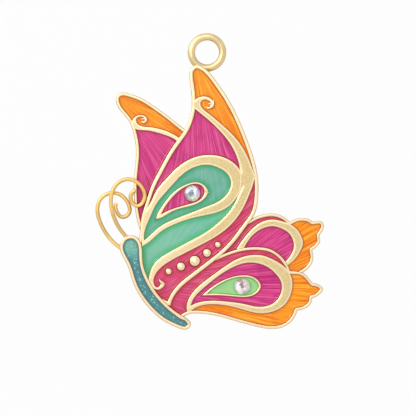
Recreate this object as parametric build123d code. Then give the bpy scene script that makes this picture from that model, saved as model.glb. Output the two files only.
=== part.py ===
from build123d import *
import cmath
import math
import os

# A small hanging butterfly ornament in side view: a gold-plated casting whose raised walls
# hold sixteen beds of coloured enamel, two faceted stones, two curled wire antennae and a
# soldered hanging ring. Millimetres. X is to the viewer's right, Z is up, and the front
# faces -Y. The origin is the centre of the hanging ring.
#
# Every outline is drawn flat, in pixels of the photograph (x to the right, y down), and the
# butterfly's height, from the fore wing's tip to the tail, turns them into mm. In the
# drawing Z is the height above the flat back, and at the end each piece is stood up.

# Overall size
BUTTERFLY_HEIGHT = 29.4
BUTTERFLY_HEIGHT_PIXELS = 263.6
PIXEL = BUTTERFLY_HEIGHT / BUTTERFLY_HEIGHT_PIXELS

# Heights of the walls above the back, and how deep the beds between them are
REAR_HEIGHT = 1.10
HIND_UPPER_HEIGHT = 1.20
HIND_LOWER_HEIGHT = 1.35
FORE_HEIGHT = 1.50
BODY_HEIGHT = 1.85
BED_DEPTH = 0.55
ENAMEL_DROP = 0.09

# Widths of the walls along the outer edges
REAR_RIM = 0.36
FORE_RIM = 0.44
HIND_RIM = 0.35
BODY_RIM = 0.38

# Hanging ring, of round wire with a narrow reamed land in its bore. The wing's tip bites
# into the wire from below, at the seat, and the ring's centre lies beyond it at an angle
# above the horizontal.
RING_BORE = 2.68
RING_WIRE = 0.85
RING_LAND_DEPTH = 0.03
RING_BITE = 0.47
RING_ANGLE = 63
RING_SEAT_PIXEL = (200, 66)

# Wire antennae. Each has a straight end in a socket in the head. The back one stays in its
# plane, and the front one leans forward to clear the rear wing at its lowest crossing.
ANTENNA_WIRE = 0.44
ANTENNA_SOCKET = 0.60
SOCKET_COVER = 0.08
BACK_ANTENNA_GAP = 0.20
FRONT_ANTENNA_GAP = 0.12
FRONT_ANTENNA_CROSSING_PIXEL = (138, 205)

# Faceted flat-backed stones, sunk in the enamel
STONE_DIAMETER = 1.78
STONE_GIRDLE = 0.32
STONE_CROWN = 0.42
STONE_SINK = 0.26
STONE_SIDES = 8
STONE_MAIN_TAPER = 48
STONE_HALF_TAPER = 38

# Row of cast dots in the lower bed of the fore wing, with round crowns above the enamel
DOT_CROWN = 0.20
DOT_DIAMETERS = [0.76, 1.00, 1.25, 0.98, 0.71]
DOT_PIXELS = [(168.7, 271.2), (181, 266.3), (194.8, 260.7), (207, 252.8), (217.8, 244.5)]

# How far a cut runs past what it cuts
OVERRUN = 0.5

# How finely the inner edge of a wall is worked out, the longest stretch and widest turn in
# degrees between two points of its curve, and the edges that the curve is redrawn as
INSET_STEP = 0.05
INSET_STRETCH = 1.2
INSET_TURN = 30
INSET_EDGE = 2
INSET_SPANS = 16
INSET_FIT_SHARE = 0.995

# Outer edges. Each is a list of smooth runs of pixel points. A run ends at the first point
# of the next one, where the outline has a corner.
REAR_WING_PIXELS = [
    [(190, 133), (184, 128.8), (170, 117.6), (155, 106.6), (140, 97.6), (129, 93.8), (121, 93.0),
     (116.8, 96), (116.1, 101), (119.6, 109.6), (128.2, 120), (132.6, 130), (135.2, 141),
     (136.2, 154), (134.6, 172), (133.8, 188), (135, 208), (137.6, 222)],
    [(140.5, 231), (150, 222), (166, 186), (185, 150)],
]
FORE_WING_PIXELS = [
    [(137, 244), (140.2, 231), (141.2, 220), (145, 205), (151.4, 186), (159.5, 170),
     (167.6, 155), (177.6, 140), (184.6, 130), (189.2, 119), (191.8, 106), (191.2, 92),
     (189.6, 80), (190, 70.5), (195.4, 65.4), (203.2, 67.4), (211, 74.6), (220, 86.6),
     (230, 102), (240, 122), (249.4, 145.6), (255.2, 164), (258.2, 182), (257.8, 200),
     (254.6, 214), (247.2, 225), (236, 240), (222, 254.6), (209, 265), (196, 275),
     (183.4, 285), (174.8, 295)],
    [(170.6, 306), (150, 292), (138, 262)],
]
HIND_UPPER_PIXELS = [
    [(240, 226), (249, 220.4), (257, 216.2), (265, 214), (273, 213.4), (281, 215.4)],
    [(289.6, 221.6), (296, 218.8), (303, 217.8), (308.4, 219)],
    [(312.4, 221.6), (318, 220.8), (322, 221.8), (323.8, 225.6), (322, 231.6), (319.4, 236),
     (320, 241), (317.6, 245.8)],
    [(312, 250.4), (313.2, 256), (312, 263), (308, 268.6), (302, 272.8)],
    [(290, 276), (262, 262), (232, 258), (214, 262)],
]
HIND_LOWER_PIXELS = [
    [(216, 257), (228, 252), (240, 248.4), (250, 247), (260, 247), (270, 248.8),
     (278, 253.4), (284.4, 260)],
    [(290, 270.6), (297, 271.2), (304, 273.4), (308.6, 278)],
    [(312.6, 283), (319, 284.6), (322.8, 288.4), (319.6, 294)],
    [(312, 297.8), (310.6, 303.4), (305.6, 308)],
    [(297.2, 310.2), (295.4, 315.4), (290.6, 322), (282, 327.2), (270, 328.7), (257, 326.6),
     (240, 322.2), (225, 317.8), (210, 314.4), (198, 313.2), (188, 314.2)],
    [(182, 318), (166, 304), (186, 276)],
]
BODY_PIXELS = [
    (131, 235.2), (136.6, 236.8), (140.8, 242.2), (142.5, 251), (143.2, 263), (148, 277.6),
    (156.6, 292), (167, 303.6), (178, 312.6), (187, 318.4), (191, 324), (187.6, 328.6),
    (178, 327.4), (166, 321.8), (152, 310.6), (140.6, 296.6), (132.6, 280.6), (127.4, 264.6),
    (121.2, 252.4), (120.4, 244.6), (124.4, 237.6),
]

# Raised bands that part the beds, drawn the same way. They run on under the outer walls.
REAR_SCROLL_PIXELS = [
    [(130.6, 125), (133, 119.4), (137, 115.6), (142, 114.8), (146.6, 117.2), (147.6, 120.8),
     (145.4, 123.2)],
    [(142.8, 122.8), (144.4, 120.6), (143.4, 118), (140, 117.2), (137, 118.8), (137, 122.2),
     (141, 125.6), (150, 126.9), (160, 128.8), (170, 132.2), (178, 136.8)],
    [(186, 142), (181, 143.4), (174, 139.4), (165, 135.4), (155, 132.4), (145, 130.7),
     (137, 130)],
    [(133, 127.6)],
]
FORE_SCROLL_PIXELS = [
    [(193, 104), (196.4, 98.8), (202.6, 96.4), (209, 97.4), (213.8, 101.4), (214.4, 106),
     (211, 109)],
    [(206.4, 108.2), (209.6, 106.4), (210.4, 103.4), (207.6, 100.8), (203.4, 100.4),
     (200.9, 103.2), (201.8, 107), (208, 112.8), (218, 121), (230, 131.8), (240, 143.2),
     (247, 155), (252, 167)],
    [(255, 177), (253.4, 184), (249.4, 195), (244, 207), (235.6, 219.8), (225, 230.4),
     (210, 240.3), (195, 248.2), (180, 255.8), (167, 263.2), (158.2, 270.8), (154.2, 278.4),
     (154.6, 284), (157.6, 287), (160.2, 284.8)],
    [(159.4, 280.2), (163.2, 281), (165, 283.8), (162.6, 287.8), (158, 289.9), (153, 288.4)],
    [(147.4, 284), (148.8, 276.6), (152.6, 265.8), (161, 257), (175, 248.6), (190, 240.6),
     (205, 232.4), (220, 220.8), (231, 208.6), (237.6, 196.4), (240.4, 188), (241, 178),
     (239.7, 169), (236.4, 157), (230, 144.2), (220, 131.8), (208, 120.2), (196.4, 110.8)],
    [(192.6, 107.6)],
]
EYE_BAND_OUTER_PIXELS = [
    [(141, 247), (143, 224), (146.4, 209.4), (150.8, 202), (156.4, 190.4), (165, 180),
     (175, 169.4), (186, 161.2), (198, 156.1), (210, 154.8), (222, 156.6), (232, 161.4),
     (240, 169.6), (244, 180), (238, 195.8), (231, 204.8), (220, 211.6), (205, 215.6),
     (190, 219), (175, 224.4), (160, 232.8), (149, 242.6)],
]
EYE_BAND_INNER_PIXELS = [
    [(144.8, 239.8), (145.2, 231), (150, 218.6), (156.4, 204.8), (165, 193.8), (175, 182.6),
     (185, 172.9), (196, 167), (208, 165.2), (219, 168.4), (227.4, 174.6), (230.6, 183.6),
     (227.4, 193), (218, 201.4), (205, 206.8), (190, 212.8), (175, 218.6), (160, 226.4),
     (150, 235.2)],
]
FORE_DROP_OUTER_PIXELS = [
    [(155.9, 219.4), (157.8, 213.2), (163, 204.8), (170, 195.6), (179, 188), (188, 183.6),
     (196.4, 182), (203, 184)],
    [(208.6, 192.2), (204.4, 199.2), (195, 204.8), (184, 207.9), (172, 211.8), (162, 217.8)],
]
FORE_DROP_INNER_PIXELS = [
    [(162, 213.6), (165.4, 207), (171, 199.4), (179, 191.4), (188, 186), (196.4, 184.2),
     (202, 186.6), (204.2, 192), (201.4, 198.2), (193, 202.7), (182, 205.8), (171, 209.4)],
]
HIND_UPPER_BAND_OUTER_PIXELS = [
    [(233, 254), (238.6, 245.2), (245, 236.2), (253, 227.6), (263, 221), (273, 219.2),
     (282, 220.8), (291, 224.2), (297.6, 229.6), (302, 237.4), (303.2, 243.4),
     (300.8, 250.4), (295.4, 258.8), (287, 266)],
    [(281, 270)],
    [(256, 262)],
]
HIND_UPPER_BAND_INNER_PIXELS = [
    [(242, 253), (244.8, 247), (250, 238.6), (257, 231.8), (265, 227.7), (273, 226.4),
     (281, 228.6), (288.4, 233.2), (292.6, 240.4), (293.2, 247.6), (290.4, 255)],
    [(283, 263)],
    [(262, 258)],
]
HIND_LOWER_BAND_OUTER_PIXELS = [
    [(187.4, 313), (186.4, 305.4), (190.2, 295.6), (198, 286.4), (210, 276.8), (225, 265.9),
     (240, 257.4), (252, 254.6), (264, 255.4), (275, 260), (284.6, 266.4), (290.4, 274),
     (292.6, 284.6), (290.6, 295), (284, 305.4), (274, 311.2), (262, 313.4), (250, 311.7),
     (238, 308.2), (225, 305.3), (212, 304.3), (200, 306)],
    [(191, 311.4)],
]
HIND_LOWER_BAND_INNER_PIXELS = [
    [(191.4, 304.8), (193.6, 299), (200, 291.4), (210, 282.8), (222, 273.7), (234, 266.9),
     (246, 263), (257, 263.3), (267, 266.9), (275.4, 273.8), (280.6, 282), (280.8, 291.6),
     (276, 300.4), (267, 305.4), (256, 306), (243, 303.2), (230, 301.4), (217, 300.2),
     (205, 300.6)],
]
HIND_DROP_OUTER_PIXELS = [
    [(201.2, 295.7), (207.4, 290.2), (217, 283.2), (228, 277.9), (240, 275), (250, 275.4),
     (258, 279.8), (261, 286.2), (257.6, 292.4), (250, 296.4), (238, 296.9), (224, 295.6),
     (212, 295.3)],
]
HIND_DROP_INNER_PIXELS = [
    [(207.8, 293.3), (213.4, 288.4), (221, 283.4), (230, 279.2), (240, 277.1), (249, 277.5),
     (256, 281.4), (258.2, 286.2), (255.2, 291.6), (248, 294.7), (238, 294.9), (224, 293.5)],
]

# Centre lines of the antennae, from the head outwards
FRONT_ANTENNA_PIXELS = [
    (126.2, 236.6), (117, 223.5), (112.2, 210), (111.3, 198), (115, 186.5), (124, 179.5),
    (134, 180), (142.5, 187.5), (144.3, 199), (138, 205.5), (131.5, 200.5), (132.5, 192),
    (135.5, 190),
]
BACK_ANTENNA_PIXELS = [
    (121, 248.2), (110, 238.5), (101, 224), (97.5, 209), (101, 198.5), (110, 193.2),
    (120, 194.5), (128, 203), (128.8, 213.5), (122.6, 217), (117, 212), (116.6, 203),
]

# Beds of enamel: the wing that each lies in, and a pixel well inside it
BEDS = {
    "rear_tip_enamel": ("rear", (150, 113)),
    "rear_field_enamel": ("rear", (150, 155)),
    "fore_tip_enamel": ("fore", (225, 113)),
    "fore_upper_enamel": ("fore", (208, 140)),
    "fore_eye_enamel": ("fore", (218, 183)),
    "fore_drop_enamel": ("fore", (175, 202)),
    "fore_lower_enamel": ("fore", (180, 234)),
    "fore_dotted_enamel": ("fore", (186, 276)),
    "hind_upper_strip_enamel": ("hind_upper", (246.5, 230.5)),
    "hind_upper_field_enamel": ("hind_upper", (272, 238)),
    "hind_upper_edge_enamel": ("hind_upper", (309, 232)),
    "hind_lower_strip_enamel": ("hind_lower", (205, 275)),
    "hind_lower_field_enamel": ("hind_lower", (270, 288)),
    "hind_drop_enamel": ("hind_lower", (222, 289)),
    "hind_lower_edge_enamel": ("hind_lower", (301, 290)),
    "body_enamel": ("body", (131, 250)),
}

# Stones: the bed that each is sunk in, and its centre
STONES = {
    "fore_stone": ("fore_drop_enamel", (192.4, 193.4)),
    "hind_stone": ("hind_drop_enamel", (242.2, 286.2)),
}


# Flat drawing

RING_REACH = RING_BORE / 2 + RING_WIRE - RING_BITE
RING_FROM_SEAT = Vector(RING_REACH, 0).rotate(Axis.Z, RING_ANGLE)


def flat(pixel):
    """The place of a pixel in the drawing, whose origin is the ring's centre."""
    across = pixel[0] - RING_SEAT_PIXEL[0]
    up = RING_SEAT_PIXEL[1] - pixel[1]
    return Vector(across, up) * PIXEL - RING_FROM_SEAT


def closed_face(runs):
    """The face inside smooth runs that meet at corners and close on the first point."""
    edges = []
    for number, run in enumerate(runs):
        following = runs[(number + 1) % len(runs)]
        points = [flat(pixel) for pixel in run + following[:1]]
        edges.append(Line(*points) if len(run) == 1 else Spline(*points))
    return Face(Wire(edges))


def round_face(pixels):
    """The face inside one smooth closed curve."""
    return Face(Wire([Spline(*[flat(pixel) for pixel in pixels], periodic=True)]))


def ring_band(outer_runs, inner_runs):
    return closed_face(outer_runs) - closed_face(inner_runs)


def thinned(points):
    """Fewer points along a smooth run: one for each stretch or bend of the named size."""
    chosen = [points[0]]
    used = 0
    for before, here, after in zip(points, points[1:], points[2:]):
        turn = abs(cmath.phase((after - here) / (here - before)))
        used += abs(here - before) / INSET_STRETCH + math.degrees(turn) / INSET_TURN
        if used > 1:
            chosen.append(here)
            used = 0
    return chosen + [points[-1]]


def inset(face, width):
    """The face inside a wall along its edge. Points of the edge move in by the wall's width,
    and those that end up nearer than that to another stretch of the edge are left out."""
    wire = face.outer_wire()
    count = math.ceil(wire.length / INSET_STEP)
    places = [wire @ (number / count) for number in range(count)]
    edge = [complex(place.X, place.Y) for place in places]
    around = list(zip(edge[-1:] + edge[:-1], edge, edge[1:] + edge[:1]))
    turned = 1j if sum((here.conjugate() * after).imag for _, here, after in around) > 0 else -1j
    moved = [here + turned * width * (after - before) / abs(after - before) for before, here, after in around]
    fits = [min(abs(point - other) for other in edge) > width * INSET_FIT_SHARE for point in moved]
    first = fits.index(False) if False in fits else 0
    runs = [[]]
    for number in range(first, first + count):
        if fits[number % count]:
            runs[-1].append(moved[number % count])
        elif runs[-1]:
            runs.append([])
    runs = [thinned(run) for run in runs if len(run) > 2]
    if all(fits):
        curves = [Spline(*[(point.real, point.imag) for point in runs[0]], periodic=True)]
    else:
        corners = [(run[-1] + after[0]) / 2 for run, after in zip(runs, runs[1:] + runs[:1])]
        bounds = zip(corners[-1:] + corners[:-1], runs, corners)
        chains = [[start] + run[1:-1] + [end] for start, run, end in bounds]
        curves = [Spline(*[(point.real, point.imag) for point in chain]) for chain in chains]
    edges = []
    for curve in curves:
        parts = math.ceil(curve.length / INSET_EDGE)
        steps = parts * INSET_SPANS
        places = [curve @ (number / steps) for number in range(steps + 1)]
        for number in range(0, steps, INSET_SPANS):
            ends = (number / steps, (number + INSET_SPANS) / steps)
            points = places[number:number + INSET_SPANS + 1]
            edges.append(Spline(*points, tangents=[curve % end for end in ends]))
    return Face(Wire(edges))


def disc(pixel, diameter):
    return Pos(flat(pixel)) * Circle(diameter / 2)


def bed_face(region, pixel):
    """The one face of a region that holds a pixel."""
    for face in region.faces():
        if face.is_inside(flat(pixel)):
            return face
    raise ValueError("no bed at " + str(pixel))


def raised(face, low, high):
    """A face of the drawing as a solid between two heights above the back."""
    return extrude(Pos(0, 0, low) * face, amount=high - low, dir=(0, 0, 1))


OUTLINES = {
    "rear": closed_face(REAR_WING_PIXELS),
    "hind_upper": closed_face(HIND_UPPER_PIXELS),
    "hind_lower": closed_face(HIND_LOWER_PIXELS),
    "fore": closed_face(FORE_WING_PIXELS),
    "body": round_face(BODY_PIXELS),
}
HEIGHTS = {
    "rear": REAR_HEIGHT,
    "hind_upper": HIND_UPPER_HEIGHT,
    "hind_lower": HIND_LOWER_HEIGHT,
    "fore": FORE_HEIGHT,
    "body": BODY_HEIGHT,
}
RIMS = {
    "rear": REAR_RIM,
    "hind_upper": HIND_RIM,
    "hind_lower": HIND_RIM,
    "fore": FORE_RIM,
    "body": BODY_RIM,
}
# Which wings lie in front of each, and the bands that stand up out of its floor
COVERS = {
    "rear": ["fore"],
    "hind_upper": ["fore", "hind_lower"],
    "hind_lower": ["fore", "body"],
    "fore": ["body"],
    "body": [],
}
BANDS = {
    "rear": [closed_face(REAR_SCROLL_PIXELS)],
    "hind_upper": [ring_band(HIND_UPPER_BAND_OUTER_PIXELS, HIND_UPPER_BAND_INNER_PIXELS)],
    "hind_lower": [
        ring_band(HIND_LOWER_BAND_OUTER_PIXELS, HIND_LOWER_BAND_INNER_PIXELS),
        ring_band(HIND_DROP_OUTER_PIXELS, HIND_DROP_INNER_PIXELS),
    ],
    "fore": [
        closed_face(FORE_SCROLL_PIXELS),
        ring_band(EYE_BAND_OUTER_PIXELS, EYE_BAND_INNER_PIXELS),
        ring_band(FORE_DROP_OUTER_PIXELS, FORE_DROP_INNER_PIXELS),
    ],
    "body": [],
}


def without(region, others):
    for other in others:
        region -= other
    return region


# The open floor of each wing, on under the wings in front, and the part of it that shows
FLOORS = {wing: without(inset(OUTLINES[wing], RIMS[wing]), BANDS[wing]) for wing in OUTLINES}
REGIONS = {
    wing: without(FLOORS[wing], [OUTLINES[cover] for cover in COVERS[wing]]) for wing in OUTLINES
}
DOTS = [disc(pixel, diameter) for pixel, diameter in zip(DOT_PIXELS, DOT_DIAMETERS)]
REGIONS["fore"] = without(REGIONS["fore"], DOTS)
BED_FACES = {node: bed_face(REGIONS[wing], pixel) for node, (wing, pixel) in BEDS.items()}


# Pieces, lying flat on their back


def bed_floor(wing):
    return HEIGHTS[wing] - BED_DEPTH


def enamel_surface(wing):
    return HEIGHTS[wing] - ENAMEL_DROP


def arc_pair(start, start_direction, end, end_direction):
    """Two arcs that meet smoothly and join two points in given unit directions."""
    chord = end - start
    directions = start_direction + end_direction
    bend = 2 * (1 - start_direction.dot(end_direction))
    along = chord.dot(directions)
    reach = (math.sqrt(along**2 + bend * chord.dot(chord)) - along) / bend
    middle = (start + end + (start_direction - end_direction) * reach) / 2
    first = TangentArc(start, middle, tangent=start_direction)
    return [first, TangentArc(middle, end, tangent=first % 1)]


def antenna(pixels, lean, centre):
    """A round wire along arcs through the pixels, with a straight end in the head."""
    points = [flat(pixel) for pixel in pixels]
    guide = Spline(*points)
    directions = [guide.tangent_at(guide.param_at_point(point)) for point in points]
    runs = [Line(points[0] - directions[0] * ANTENNA_SOCKET, points[0])]
    for number in range(1, len(points)):
        before = number - 1
        runs += arc_pair(points[before], directions[before], points[number], directions[number])
    path = Wire([edge for run in runs for edge in run.edges()])
    section = Plane(origin=path @ 0, z_dir=path % 0) * Circle(ANTENNA_WIRE / 2)
    wire = sweep(section, path=path)
    root = Pos(points[0])
    return Pos(0, 0, centre) * root * Rot(lean, 0, 0) * root.inverse() * wire


def front_antenna():
    """Leans so that it passes over the rear wing with the named gap."""
    centre = bed_floor("body") - SOCKET_COVER - ANTENNA_WIRE / 2
    crossing = REAR_HEIGHT + FRONT_ANTENNA_GAP + ANTENNA_WIRE / 2
    rise = (flat(FRONT_ANTENNA_CROSSING_PIXEL) - flat(FRONT_ANTENNA_PIXELS[0])).Y
    return antenna(FRONT_ANTENNA_PIXELS, math.degrees(math.atan2(crossing - centre, rise)), centre)


def back_antenna():
    """Lies flat, behind the front one's root by the named gap."""
    centre = bed_floor("body") - SOCKET_COVER - ANTENNA_WIRE / 2 - BACK_ANTENNA_GAP
    return antenna(BACK_ANTENNA_PIXELS, 0, centre)


def dome(pixel, diameter):
    """A cast dot: an upright side to the enamel's surface, and a round crown over it."""
    radius = diameter / 2
    ball = (radius**2 + DOT_CROWN**2) / (2 * DOT_CROWN)
    base = enamel_surface("fore")
    top = base + DOT_CROWN
    sphere = Pos(flat(pixel)) * Pos(0, 0, top - ball) * Sphere(ball)
    face = disc(pixel, diameter)
    return raised(face, bed_floor("fore"), base) + (raised(face, base, top) & sphere)


def wing_solid(wing):
    """One wing with its pockets, which runs half a wall's width under what covers it."""
    hidden = [inset(OUTLINES[cover], RIMS[cover] / 2) for cover in COVERS[wing]]
    plate = raised(without(OUTLINES[wing], hidden), 0, HEIGHTS[wing])
    return plate - raised(FLOORS[wing], bed_floor(wing), HEIGHTS[wing] + OVERRUN)


def cast_frame(sockets):
    """All wings and the body in one casting, with the antennae's sockets."""
    solid = Part() + [wing_solid(wing) for wing in OUTLINES]
    solid += [dome(pixel, diameter) for pixel, diameter in zip(DOT_PIXELS, DOT_DIAMETERS)]
    for cut in (*sockets, *stone_seats().values()):
        solid -= cut
    return solid


def hanging_ring(frame):
    """A wire ring with a flat land in its bore, notched to seat on the wing's tip."""
    middle = RING_BORE / 2 - RING_LAND_DEPTH + RING_WIRE / 2
    ring = Torus(middle, RING_WIRE / 2) - Cylinder(RING_BORE / 2, RING_WIRE + OVERRUN)
    return Pos(0, 0, RING_WIRE / 2) * ring - frame


def stone(pixel, seat):
    """A flat-backed stone: an upright girdle under a crown of main and half facets."""
    radius = STONE_DIAMETER / 2
    height = STONE_GIRDLE + STONE_CROWN
    half_turn = 180 / STONE_SIDES
    solid = extrude(Circle(radius), amount=height)
    for taper, turn in ((STONE_MAIN_TAPER, 0), (STONE_HALF_TAPER, half_turn)):
        sides = RegularPolygon(radius, STONE_SIDES, major_radius=False, rotation=turn)
        crown = extrude(Pos(0, 0, STONE_GIRDLE) * sides, amount=STONE_CROWN, taper=taper)
        solid &= crown + extrude(sides, amount=STONE_GIRDLE)
    return Pos(flat(pixel)) * Pos(0, 0, seat) * solid


def stone_seat(bed):
    """How high above the back a stone stands in its bed."""
    return enamel_surface(BEDS[bed][0]) - STONE_SINK


def stones():
    return {node: stone(pixel, stone_seat(bed)) for node, (bed, pixel) in STONES.items()}


def stone_seats():
    """The round seat of each stone, by its bed, open to the front."""
    return {
        bed: raised(disc(pixel, STONE_DIAMETER), stone_seat(bed), BODY_HEIGHT + OVERRUN)
        for bed, pixel in STONES.values()
    }


def enamels():
    """Every bed of enamel, from its floor to just below the tops of the walls."""
    pieces = {}
    for node, (wing, _) in BEDS.items():
        pieces[node] = raised(BED_FACES[node], bed_floor(wing), enamel_surface(wing))
    for seat in stone_seats().values():
        for node in pieces:
            pieces[node] -= seat
    return pieces


def stand_up(solid):
    """Turns a piece from its back to hanging, with the ring's wire centred on Y."""
    return Rot(90, 0, 0) * Pos(0, 0, -RING_WIRE / 2) * solid


antennae = {"front_antenna": front_antenna(), "back_antenna": back_antenna()}
frame = cast_frame(antennae.values())
pieces = {"cast_frame": frame, "hanging_ring": hanging_ring(frame), **antennae, **stones(), **enamels()}

os.makedirs("parts", exist_ok=True)
for node, piece in pieces.items():
    export_step(stand_up(piece), "parts/" + node + ".step")
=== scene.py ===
"""A small hanging butterfly ornament: gilt casting, enamel, cut stones and gilt wire."""

import math

import bmesh
import bpy
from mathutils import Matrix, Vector, kdtree


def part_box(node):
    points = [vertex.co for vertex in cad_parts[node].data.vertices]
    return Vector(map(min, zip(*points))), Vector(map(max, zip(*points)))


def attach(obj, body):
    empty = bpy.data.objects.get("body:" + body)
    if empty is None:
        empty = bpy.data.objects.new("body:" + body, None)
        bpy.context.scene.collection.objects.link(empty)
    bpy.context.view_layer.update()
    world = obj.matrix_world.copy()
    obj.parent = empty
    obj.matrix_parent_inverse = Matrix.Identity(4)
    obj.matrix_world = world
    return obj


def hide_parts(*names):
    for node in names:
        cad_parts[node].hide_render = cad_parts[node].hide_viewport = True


bl_info = {
    "name": "Butterfly ornament",
    "version": (1, 0, 0),
    "blender": (4, 5, 0),
    "location": "3D View > Sidebar > Ornament",
    "description": "Gilt, enamel, stones and stage for the butterfly ornament",
    "category": "Object",
}

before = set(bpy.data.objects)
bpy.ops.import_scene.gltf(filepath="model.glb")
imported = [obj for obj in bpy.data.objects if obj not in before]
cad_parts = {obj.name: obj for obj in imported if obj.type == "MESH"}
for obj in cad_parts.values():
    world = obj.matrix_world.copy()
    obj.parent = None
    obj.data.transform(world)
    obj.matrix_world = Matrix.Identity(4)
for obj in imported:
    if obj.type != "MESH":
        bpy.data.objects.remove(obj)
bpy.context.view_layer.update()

MM = 0.001

# The butterfly's height without its ring, in millimetres and in pixels of the picture
BUTTERFLY_HEIGHT = 29.4
BUTTERFLY_HEIGHT_PIXELS = 263.6
PIXEL = BUTTERFLY_HEIGHT / BUTTERFLY_HEIGHT_PIXELS
RING_CENTRE = (207.0, 52.3)
PICTURE_CENTRE = (208.0, 208.0)

# A CAD node's loose triangles join where their corners are this close
MERGE_DISTANCE = 2e-7
# Faces that turn less than this from each other are one flat
FLAT_ANGLE = math.radians(0.03)
# Sharper outward edges of the casting are rounded, and sharper creases stay sharp to the eye
EDGE_ANGLE = math.radians(50)
CREASE_ANGLE = math.radians(40)
WIRE_CREASE_ANGLE = math.radians(50)
# A face looks straight to the front where its normal's Y is less than this
FACING_FRONT = -0.9999
# How far two levels may differ and still be one
LEVEL_MARGIN = 0.01 * MM
# Points this near to a cut lie on it
CUT_MARGIN = 1e-9
# Sides of the squares that level faces are cut into, and the step between points of their border
FRONT_SQUARE = 0.12 * MM
BACK_SQUARE = 0.5 * MM
ENAMEL_SQUARE = 0.1 * MM
BORDER_STEP = 0.03 * MM
# How far the walls' tops stand over their enamel
ENAMEL_DROP = 0.09 * MM
# Raised metal further than this from a wall, in millimetres, is one of the dots, and is polished, and paler
# with a painted highlight, like metal this near to an edge
DOT_CLEARANCE = 0.16
DOT_EDGE_DISTANCE = 0.03
# Shares of the polish's width between which a level face turns from polished to matt
POLISH_FADE = (0.7, 1.4)
# Off the level faces, distances between which the casting turns to the painted shade of its slopes, and then
# to the floors of its beds
SLOPE_REACH = (-0.02, -0.1)
FLOOR_REACH = (-0.2, -0.5)

# Raised lines that finish the scrolls' ends and barbs, the inner band and the drop's point: a bed
# of the wing that carries each, and its course as pixels with a share of the full width
RIDGES = {
    "rear_scroll_end": (
        "rear_tip_enamel",
        ((146, 116.6, 0.05), (147.2, 121, 1.0), (144, 124, 1.2), (142.4, 122.4, 1.2), (141.2, 121, 0.05)),
    ),
    "rear_scroll_barb": (
        "rear_tip_enamel",
        ((146.4, 120.6, 0.1), (144.6, 119, 1.0), (143.2, 118.4, 0.9), (140.8, 119.6, 0.05)),
    ),
    "low_scroll_end": (
        "fore_eye_enamel",
        ((159.4, 279, 0.1), (160, 281, 1.3), (161.8, 282.6, 1.3), (162.8, 285, 0.05)),
    ),
    "low_scroll_barb": (
        "fore_eye_enamel",
        ((160.4, 283, 0.1), (162, 283, 1.2), (163.6, 283.6, 0.9), (165.6, 283.2, 0.05)),
    ),
    "tip_scroll_end": (
        "fore_eye_enamel",
        ((213.2, 99.4, 0.05), (215, 105, 1.0), (211.4, 109.6, 1.2), (207.4, 109, 1.4), (205.4, 106.6, 0.05)),
    ),
    "tip_scroll_barb": (
        "fore_eye_enamel",
        ((213.8, 106.4, 0.1), (212, 104.2, 1.0), (210, 103.4, 0.9), (207.6, 104.4, 0.05)),
    ),
    "inner_band_ridge": (
        "fore_eye_enamel",
        ((239, 164, 0.05), (241.8, 176, 0.9), (241.6, 186, 0.9), (236.5, 200, 0.05)),
    ),
    "drop_point": (
        "fore_eye_enamel",
        ((203, 187, 0.05), (206.4, 190.5, 1.2), (206.4, 194, 1.2), (209.2, 192, 0.05)),
    ),
}
# How deep a raised line is sunk, as a share of its radius
RIDGE_SINK = 0.35

# Centres that the engraved rays spread from, by pixel
REAR_FAN = (117, 97)
FORE_FAN = (195, 62)
FORE_LOW_FAN = (132, 306)
UPPER_FAN = (140, 335)
LOWER_FAN = (120, 284)

# Each bed of enamel: its finish, the centre of its rays, and rays in a radian
BEDS = {
    "rear_tip_enamel": ("orange", REAR_FAN, 34),
    "rear_field_enamel": ("magenta", REAR_FAN, 38),
    "fore_tip_enamel": ("orange", FORE_FAN, 40),
    "fore_upper_enamel": ("magenta", FORE_FAN, 55),
    "fore_eye_enamel": ("eye", FORE_FAN, 60),
    "fore_drop_enamel": ("magenta", FORE_FAN, 60),
    "fore_lower_enamel": ("teal", FORE_LOW_FAN, 50),
    "fore_dotted_enamel": ("rose", FORE_LOW_FAN, 50),
    "hind_upper_strip_enamel": ("rose", UPPER_FAN, 90),
    "hind_upper_field_enamel": ("magenta", UPPER_FAN, 80),
    "hind_upper_edge_enamel": ("orange", UPPER_FAN, 90),
    "hind_lower_strip_enamel": ("rose", LOWER_FAN, 60),
    "hind_lower_field_enamel": ("magenta", LOWER_FAN, 60),
    "hind_drop_enamel": ("green", LOWER_FAN, 60),
    "hind_lower_edge_enamel": ("orange", LOWER_FAN, 60),
}
# Each finish of enamel: its slot, how wide the edge's colour is beside a wall as a line and as a
# soft margin, in millimetres, the margin's share, and the strength of the rays
FINISHES = {
    "orange": ("orange_enamel", 0.19, 0.5, 0.15, 1.0),
    "magenta": ("magenta_enamel", 0.2, 0.5, 0.15, 0.8),
    "rose": ("magenta_enamel", 0.22, 0.6, 0.45, 0.75),
    "teal": ("teal_enamel", 0.2, 0.8, 0.75, 0.3),
    "eye": ("teal_enamel", 0.2, 0.7, 0.7, 0.3),
    "green": ("green_enamel", 0.18, 0.5, 0.3, 0.2),
}
# How fast a ray's tone changes along it, in changes per millimetre
RAY_CHANGE = 0.16
# Columns of the picture between which the bands turn brighter with a painted highlight, how far behind and
# before the ring's centre that highlight starts and is whole, and rows between which the body turns into the
# head
LIT_COLUMNS = (225, 165)
HIGHLIGHT_DEPTH = 0.3 * MM
HEAD_ROWS = (262, 248)
# The ring is better polished than the antennae's wire
RING_ROUGHNESS = 0.2
WIRE_ROUGHNESS = 0.3

# A cut stone: facets around its table, and how deep its star facets and its girdle lie, as shares of its
# depth. A ring of other painted reflections as wide as a share of its radius surrounds the table's heart.
STONE_SIDES = 8
STAR_DEPTH = 0.16
GIRDLE_DEPTH = 0.52
TABLE_RING = 0.24
# The share of its painted colour that every third facet keeps, as painted shade
SHADED_FACET = 0.88
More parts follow.
